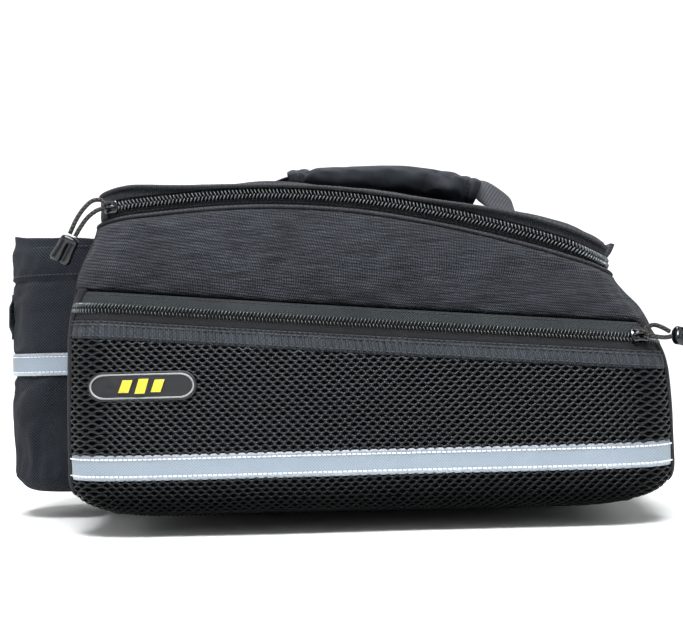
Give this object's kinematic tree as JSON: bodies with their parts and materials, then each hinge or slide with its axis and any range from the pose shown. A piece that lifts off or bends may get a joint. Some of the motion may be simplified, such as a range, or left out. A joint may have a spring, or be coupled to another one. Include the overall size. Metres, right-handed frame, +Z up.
{
  "type": "bicycle trunk bag",
  "caption": "Padded rack-top trunk bag with zipped lid, side mesh pockets, handle, rear bottle pocket, reflective stripes and a slide-in rail under its base.",
  "frame": {"origin": "middle of the flat underside of the base runner, where the bag meets the rack", "axes": "+X towards the bag's nose, -X towards the bottle pocket, -Y towards the pictured side, +Z up"},
  "size_m": [0.4611, 0.2464, 0.2445],
  "materials": {
    "body_fabric": "padded matt polyester shell",
    "lid_fabric": "padded matt polyester shell",
    "panel_fabric": "matt black-grey woven polyester with a fine rib, slightly blue",
    "mesh_fabric": "black spacer mesh over a padded pocket",
    "bottle_fabric": "matt plain woven polyester",
    "webbing": "grosgrain and woven webbing",
    "strap_webbing": "slate-grey woven webbing",
    "grip_fabric": "padded dark slate fabric",
    "piping": "fine corded piping",
    "cord": "braided cord",
    "reflective": "silver reflective tape, satin",
    "zip_coil": "black coil zip on a dark tape",
    "slider": "black enamelled slider",
    "moulded": "soft black moulded rubber",
    "badge_rubber": "black moulded rubber badge with a grey line",
    "runner_plastic": "black moulded plastic"
  },
  "bodies": {
    "root": {"base_runner": "runner_plastic", "main_body": "body_fabric", "lid": "lid_fabric", "lid_hinge": "lid_fabric", "lid_zip": "zip_coil", "lid_piping": "piping", "rim_piping": "piping", "side_panel_near": "panel_fabric", "side_panel_far": "panel_fabric", "side_pocket_near": "mesh_fabric", "side_pocket_far": "mesh_fabric", "pocket_zip_near": "zip_coil", "pocket_zip_far": "zip_coil", "pocket_band_near": "webbing", "pocket_band_far": "webbing", "side_stripe_near": "reflective", "side_stripe_far": "reflective", "badge_near": "badge_rubber", "badge_far": "badge_rubber", "bottle_pocket": "bottle_fabric", "bottle_stripe": "reflective", "light_loop": "webbing", "handle_strap": "strap_webbing", "handle_grip": "grip_fabric", "front_tab": "webbing", "lid_slider": "slider", "lid_pull_cord": "cord", "lid_pull_end": "moulded", "pocket_slider_near": "slider", "pocket_slider_far": "slider", "pocket_pull_cord_near": "cord", "pocket_pull_cord_far": "cord", "pocket_pull_end_near": "moulded", "pocket_pull_end_far": "moulded"}
  },
  "joints": []
}
